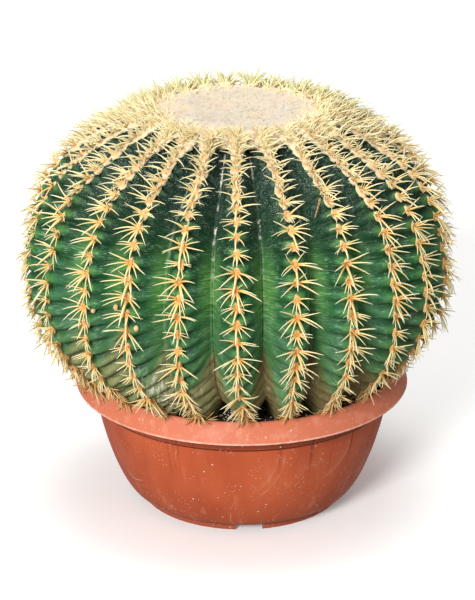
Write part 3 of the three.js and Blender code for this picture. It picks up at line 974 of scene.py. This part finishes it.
class CACTUS_OT_crown(bpy.types.Operator):
    """Wraps a sheet into the dished woolly crown and stands hairs and young spines on it"""

    bl_idname = "cactus.crown"
    bl_label = "Crown"

    def execute(self, context):
        own, ribs = settings("crown"), settings("stem").ribs
        rng = np.random.default_rng(own.seed)
        piece, turn, place = sheet("wool_cap", 184, 110)

        # The sheet's lowest part is the flat underside, and the wool's edge has a lobe for each rib
        under = 0.22
        share = np.clip((1 - place) / (1 - under), 0, 1)
        lobes = 1 + 0.06 * np.cos(ribs * turn) * ease(share, 0.7, 1)
        radius = np.where(place > under, WOOL_EDGE * share * lobes, WOOL_EDGE * place / under)
        flat = around(turn, radius, 0 * radius)
        lumps = 1.3 * MM * grain(flat, own.lump, 2) + 0.5 * MM * grain(flat, own.lump / 3, 4)
        top = WOOL_TOP + 1 * MM + crown_level(radius) + lumps + 0.2 * MM * grain(flat, 1.8 * MM, 6)
        wrap(piece, around(turn, radius, np.where(place > under, top, CROWN_TOP - 4 * MM)))
        wool = wool_material()
        finish_piece(piece, wool, "crown_felt", "crown_wool")

        count = own.hairs
        angle = rng.uniform(0, TURN, count)
        reach = WOOL_EDGE * np.sqrt(rng.uniform(0, 1, count)) * 0.99
        spot = around(angle, reach, 0 * reach)
        spot[:, 2] = WOOL_TOP + crown_level(reach) + 1.5 * MM * grain(spot, own.lump, 2)
        hairs = place_spines(
            "wool_hairs", HAIR, roots=spot,
            ways=unit(rng.normal(0, 1, (count, 3)) * (1, 1, 0.25) + (0, 0, 0.45)),
            sags=unit(rng.normal(0, 1, (count, 3))),
            lengths=rng.uniform(2.5, 6, count) * MM,
            widths=rng.uniform(0.12, 0.22, count) * MM,
            shade=rng.random(count), age=np.zeros(count), young=np.ones(count),
            curl=rng.uniform(0.1, 0.6, count))
        finish_piece(hairs, wool, "crown_felt", "crown_wool")

        # Young spines stand in the felt where the ribs run into the wool
        count = own.young_spines
        rib = np.round(rng.uniform(0, ribs, count)) + rng.normal(0, 0.2, count)
        angle = rib * TURN / ribs
        reach = np.sqrt(rng.uniform(59 ** 2, 91 ** 2, count))
        felt = np.interp(reach, [58, 66, 74, 90], [365, 363, 360, 355])
        lean = around(angle, np.interp(reach, [62, 90], [0.1, 0.5]), 0.8)
        young = place_spines(
            "young_spines", HORN, roots=around(angle, reach, felt) * MM,
            ways=unit(lean + rng.normal(0, 0.62, (count, 3)) * (1, 1, 0.4)),
            lengths=rng.uniform(7.5, 13.5, count) * MM * np.interp(reach, [60, 80], [0.45, 1]),
            sags=unit(rng.normal(0, 1, (count, 3))),
            widths=rng.uniform(0.7, 0.95, count) * MM,
            shade=rng.random(count), age=0.1 * rng.random(count) ** 2, young=rng.uniform(0.5, 1, count),
            curl=rng.uniform(0, 0.2, count))
        finish_piece(young, bpy.data.materials["spine_horn"], "spine_horn", "spines")
        return {"FINISHED"}


def soil_rise(flat):
    """Soft hills of the soil's surface, about its mean level."""
    return 2.2 * MM * grain(flat, 26 * MM, 1) + 1.3 * MM * grain(flat, 7 * MM, 2)


class CACTUS_OT_soil(bpy.types.Operator):
    """Fills the pot with crumbly soil and scatters crumbs and perlite on it"""

    bl_idname = "cactus.soil"
    bl_label = "Soil"

    def execute(self, context):
        own = settings("soil")
        rng = np.random.default_rng(own.seed)
        piece, turn, place = sheet("soil_top", 320, 90)
        edge = LIP_RADIUS - 16.8 * MM

        # The sheet's lowest part follows the pot's inside, as radius and height, and the rest is the surface
        under = 0.2
        below = np.array([(0, 9.5), (84, 9.5), (108, 30), (122, 66), (126, 96)]) * MM
        below = np.vstack([below, (edge, SOIL_TOP - 1.5 * MM)])
        side, low = (np.interp(place, np.linspace(0, under, len(below)), column) for column in below.T)
        share = np.clip((1 - place) / (1 - under), 0, 1)
        radius = np.where(place > under, edge * share ** 0.5, side)
        flat = around(turn, radius, 0 * radius, POT_X)
        level = SOIL_TOP - 1.2 * MM + soil_rise(flat) + 0.9 * MM * grain(flat, own.grain, 3)
        wrap(piece, around(turn, radius, np.where(place > under, level, low), POT_X))
        peat = soil_material()
        finish_piece(piece, peat, "potting_soil", "soil")

        # Crumbs and perlite lie all round the stem, more of them near the rim. Sizes are shares of a crumb
        bpy.ops.mesh.primitive_ico_sphere_add(subdivisions=1, radius=1)
        ball, faces = template()
        white = plain_material("expanded_perlite", "#F2EFE8", "#CFC9BE", 2 * MM, {"Roughness": 0.9})
        for name, count, small, large, finish in (("soil_crumbs", own.crumbs, 0.35, 1.0, peat),
                                                  ("perlite", own.perlite, 0.3, 0.85, white)):
            angle = rng.uniform(0, TURN, count)
            reach = np.where(rng.random(count) < 0.35, rng.uniform(96 * MM, 120 * MM, count),
                             rng.uniform(92 * MM, edge - 1 * MM, count))
            spot = around(angle, reach, 0 * reach, POT_X)
            spot[:, 2] = SOIL_TOP - 0.6 * MM + soil_rise(spot)
            size = rng.uniform(small, large, (count, 1, 3)) * own.grain
            rough = ball[None] * (1 + 0.22 * rng.normal(0, 1, (count, len(ball), 1)))
            finish_piece(stamped(name, spot[:, None] + rough * size, faces), finish, "potting_soil", "soil")
        return {"FINISHED"}


def beside(radius, height, *steps):
    """Points of a profile, each at steps out and up in millimetres from a radius and a height."""
    return [(radius + out * MM, height + up * MM) for out, up in steps]


def curve(corners, steps):
    """Points along a cubic curve with those four corners."""
    t = np.linspace(0, 1, steps)[:, None]
    start, flare, shoulder, end = np.array(corners)
    line = ((1 - t) ** 3 * start + 3 * (1 - t) ** 2 * t * flare
            + 3 * (1 - t) * t ** 2 * shoulder + t ** 3 * end)
    return list(map(tuple, line))


def pot_profile(wall):
    """Radius and height under the pot's foot, up its outside, over the rim and down its inside."""
    foot, foot_top, floor = 91 * MM, 6.2 * MM, 9.2 * MM
    body, body_top = LIP_RADIUS - 17.5 * MM, 96 * MM
    neck, neck_top = LIP_RADIUS - 13.6 * MM, 120.5 * MM
    flare, belly, belly_height = 109.5 * MM, 126.9 * MM, 63.5 * MM
    return [
        (0, foot_top),
        *beside(foot, 0, (-4.5, 6.2), (-4.3, 0.3), (-4, 0), (-0.5, 0), (0, 0.4), (0.5, 5.6)),
        *curve([(foot + 2 * MM, foot_top + 0.3 * MM), (flare, 6.8 * MM), (belly, belly_height),
                (body, body_top)], 22),
        *beside(body, body_top, (0.2, 0.1), (1.7, 0.5), (2.1, 1.3)),
        *beside(neck, neck_top, (0, 0), (1, 0.6)),
        *beside(LIP_RADIUS, 0, (-3.2, 110.3), (-2.6, 109), (-1.2, 108.6), (-0.3, 108.9), (0, 109.6),
                (-0.3, 110.5)),
        *curve(beside(LIP_RADIUS, 0, (-0.9, 111.6), (-3.4, 117), (-6, 122.5))
               + beside(LIP_RADIUS, RIM_TOP, (-8.6, -1)), 8),
        *beside(LIP_RADIUS, RIM_TOP, (-9.3, -0.25), (-10.2, 0), (-11, -0.2), (-11.6, -0.8)),
        (neck - wall, SOIL_TOP - 0.5 * MM),
        *curve([(body - wall, body_top + 1 * MM), (belly - wall, belly_height), (flare - wall, floor),
                (foot - 2 * MM, floor)], 16),
        (0, floor),
    ]


class CACTUS_OT_pot(bpy.types.Operator):
    """Spins the bowl pot from its profile and cuts the foot's notches and the drain holes"""

    bl_idname = "cactus.pot"
    bl_label = "Pot"

    def execute(self, context):
        own = settings("pot")
        profile = [(POT_X + radius, 0, height) for radius, height in pot_profile(own.wall)]
        mesh = bpy.data.meshes.new("bowl_pot")
        mesh.from_pydata(profile, [(i, i + 1) for i in range(len(profile) - 1)], [])
        piece = bpy.data.objects.new("bowl_pot", mesh)
        context.scene.collection.objects.link(piece)
        only(piece)
        edit_all()
        bpy.ops.mesh.spin(steps=own.steps, angle=TURN, center=(POT_X, 0, 0), axis=(0, 0, 1))
        bpy.ops.mesh.select_all(action="SELECT")
        bpy.ops.mesh.remove_doubles(threshold=0.01 * MM)
        bpy.ops.mesh.normals_make_consistent(inside=False)
        bpy.ops.object.mode_set(mode="OBJECT")
        self.cut(piece, own.notches, 0.045, 89 * MM, bpy.ops.mesh.primitive_cube_add, size=1,
                 scale=(own.notch_width, 14 * MM, 2 * own.notch_height))
        self.cut(piece, own.drains, 0.5, 55 * MM, bpy.ops.mesh.primitive_cylinder_add, vertices=32,
                 radius=5 * MM, depth=40 * MM)
        bpy.ops.object.shade_smooth_by_angle(angle=math.radians(38))
        finish_piece(piece, plastic_material(), "pot_plastic", "pot")
        return {"FINISHED"}

    @staticmethod
    def cut(piece, count, offset, reach, add_cutter, **form):
        """Cuts holes round the pot's axis. Their cutters are joined, so that one cut makes them all."""
        cutters = []
        for i in range(count):
            angle = (i + offset) * TURN / count
            add_cutter(location=tuple(around(angle, reach, 0.0, POT_X)), rotation=(0, 0, angle), **form)
            cutters.append(bpy.context.object)
        for cutter in cutters:
            cutter.select_set(True)
        bpy.context.view_layer.objects.active = cutters[0]
        bpy.ops.object.join()
        only(piece)
        tool = piece.modifiers.new("cut", "BOOLEAN")
        tool.operation = "DIFFERENCE"
        tool.object = cutters[0]
        bpy.ops.object.modifier_apply(modifier=tool.name)
        bpy.data.objects.remove(cutters[0])


class CACTUS_OT_litter(bpy.types.Operator):
    """Drops a few seeds, a shed spine and dry flower scraps on the plant"""

    bl_idname = "cactus.litter"
    bl_label = "Seeds and scraps"

    def execute(self, context):
        # Seeds lie against the ribs, each at a rib number and a height in millimetres
        seeds = np.array([(-2.87, 228), (-2.61, 230), (-2.94, 215), (-1.87, 223)])
        bpy.ops.mesh.primitive_uv_sphere_add(segments=14, ring_count=10, radius=1)
        ball, faces = template()
        ball = ball * (1, 0.78, 0.7) * (1 + 0.14 * ball[:, :1])
        tilts = np.interp(seeds[:, 1] * MM, CREST[RISING, 1], TILTS[RISING])
        points, outward, upward, _ = skin(seeds[:, 0], tilts)
        size = 2.9 * MM
        out = set_on(points + outward * 1.2 * MM, ball[None], upward * size, np.cross(upward, outward) * size,
                     outward * size)
        coat = plain_material("seed_coat", "#F2CE9E", "#DBA76F", 1.5 * MM, {"Roughness": 0.6})
        finish_piece(stamped("seeds", out, faces), coat, "spine_horn", "spines")

        # Dry flower scraps stand among the spines behind the crown, and a shed spine lies on the right
        rng = np.random.default_rng(41)
        count = 46
        turn = rng.normal(math.pi, 0.62, count)
        reach = rng.uniform(70, 84, count) * MM
        ways = unit(around(turn, 0.25, 1.0) + rng.normal(0, 0.3, (count, 3)))
        shed, shed_out, shed_up, _ = skin(np.array([1.9]), np.array([0.75]))
        shed_way = unit(-shed_up - 0.75 * np.cross(shed_up, shed_out))
        scraps = place_spines(
            "scraps", HORN, roots=np.concatenate([around(turn, reach, 357 * MM), shed + shed_out * 1.4 * MM]),
            ways=np.concatenate([ways, shed_way]),
            lengths=np.append(rng.uniform(7, 12, count), 21) * MM,
            widths=np.append(rng.uniform(0.7, 1.3, count), 1.4) * MM,
            sags=np.concatenate([unit(rng.normal(0, 1, (count, 3))), -shed_out]),
            shade=rng.random(count + 1), age=np.ones(count + 1), young=np.zeros(count + 1),
            curl=rng.uniform(0.1, 0.3, count + 1))
        dry = plain_material("dry_flower", "#8F6E4A", "#C9A67A", 3 * MM, {"Roughness": 0.85})
        finish_piece(scraps, dry, "spine_horn", "spines")
        return {"FINISHED"}


class CACTUS_OT_stage(bpy.types.Operator):
    """Makes the pale floor, the soft lights and the camera"""

    bl_idname = "cactus.stage"
    bl_label = "Stage"

    def execute(self, context):
        own = settings("stage")
        scene = context.scene
        bpy.ops.mesh.primitive_plane_add(size=60)
        floor = named("floor")
        floor.data.materials.append(plain_material(
            "painted_board", "#F4F3F1", "#FAF9F7", 0.6,
            {"Roughness": 0.9, "Emission Color": "#FFFFFF", "Emission Strength": 0.14}))
        floor.visible_diffuse = False
        floor.visible_glossy = False

        scene.world = bpy.data.worlds.new("white_room")
        scene.world.use_nodes = True
        daylight = scene.world.node_tree.nodes["Background"].inputs
        daylight["Color"].default_value = (1, 1, 1, 1)
        daylight["Strength"].default_value = own.daylight

        def look(thing, at):
            thing.rotation_euler = (at - thing.location).to_track_quat("-Z", "Y").to_euler()

        # Lights: name, place, size in metres and power in watts
        middle = Vector((0, 0, 200 * MM))
        for name, place, size, power in (("key", (-2.2, -5.35, 2.8), 1.8, 430),
                                         ("fill", (4.1, -3.5, 2.2), 3, 9),
                                         ("top", (0.0, 0.3, 5.2), 2.6, 138)):
            bpy.ops.object.light_add(type="AREA", location=place)
            light = named(name)
            light.data.size = size
            light.data.energy = power
            look(light, middle)

        # The camera stands off from the globe's middle and looks a little lower
        camera_data = bpy.data.cameras.new("camera")
        camera_data.lens = own.lens
        camera_data.sensor_width = 36
        camera = bpy.data.objects.new("camera", camera_data)
        scene.collection.objects.link(camera)
        back = Vector((0, -math.cos(own.elevation), math.sin(own.elevation)))
        camera.location = middle + back * own.distance
        look(camera, Vector((0, 0, 184.6 * MM)))
        scene.camera = camera
        scene.view_settings.view_transform = "Standard"
        return {"FINISHED"}


OPERATORS = (CACTUS_OT_stem, CACTUS_OT_spines, CACTUS_OT_crown, CACTUS_OT_soil, CACTUS_OT_pot,
             CACTUS_OT_litter, CACTUS_OT_stage)


class CACTUS_PT_panel(bpy.types.Panel):
    """Lists what builds the cactus"""

    bl_idname = "CACTUS_PT_panel"
    bl_label = "Potted round cactus"
    bl_space_type = "VIEW_3D"
    bl_region_type = "UI"
    bl_category = "Cactus"

    def draw(self, context):
        for operator in OPERATORS:
            self.layout.operator(operator.bl_idname)
        for group, kind in SETTINGS.items():
            box = self.layout.box()
            box.label(text=group.capitalize())
            for name in kind.__annotations__:
                box.prop(settings(group), name)


def register():
    for group, kind in SETTINGS.items():
        bpy.utils.register_class(kind)
        setattr(bpy.types.Scene, "cactus_" + group, PointerProperty(type=kind))
    for kind in (*OPERATORS, CACTUS_PT_panel):
        bpy.utils.register_class(kind)


def unregister():
    for kind in (CACTUS_PT_panel, *reversed(OPERATORS)):
        bpy.utils.unregister_class(kind)
    for group, kind in SETTINGS.items():
        delattr(bpy.types.Scene, "cactus_" + group)
        bpy.utils.unregister_class(kind)


def main():
    register()
    bpy.ops.cactus.stem()
    bpy.ops.cactus.spines()
    bpy.ops.cactus.crown()
    bpy.ops.cactus.soil()
    bpy.ops.cactus.pot()
    bpy.ops.cactus.litter()
    bpy.ops.cactus.stage()


if __name__ == "__main__":
    main()
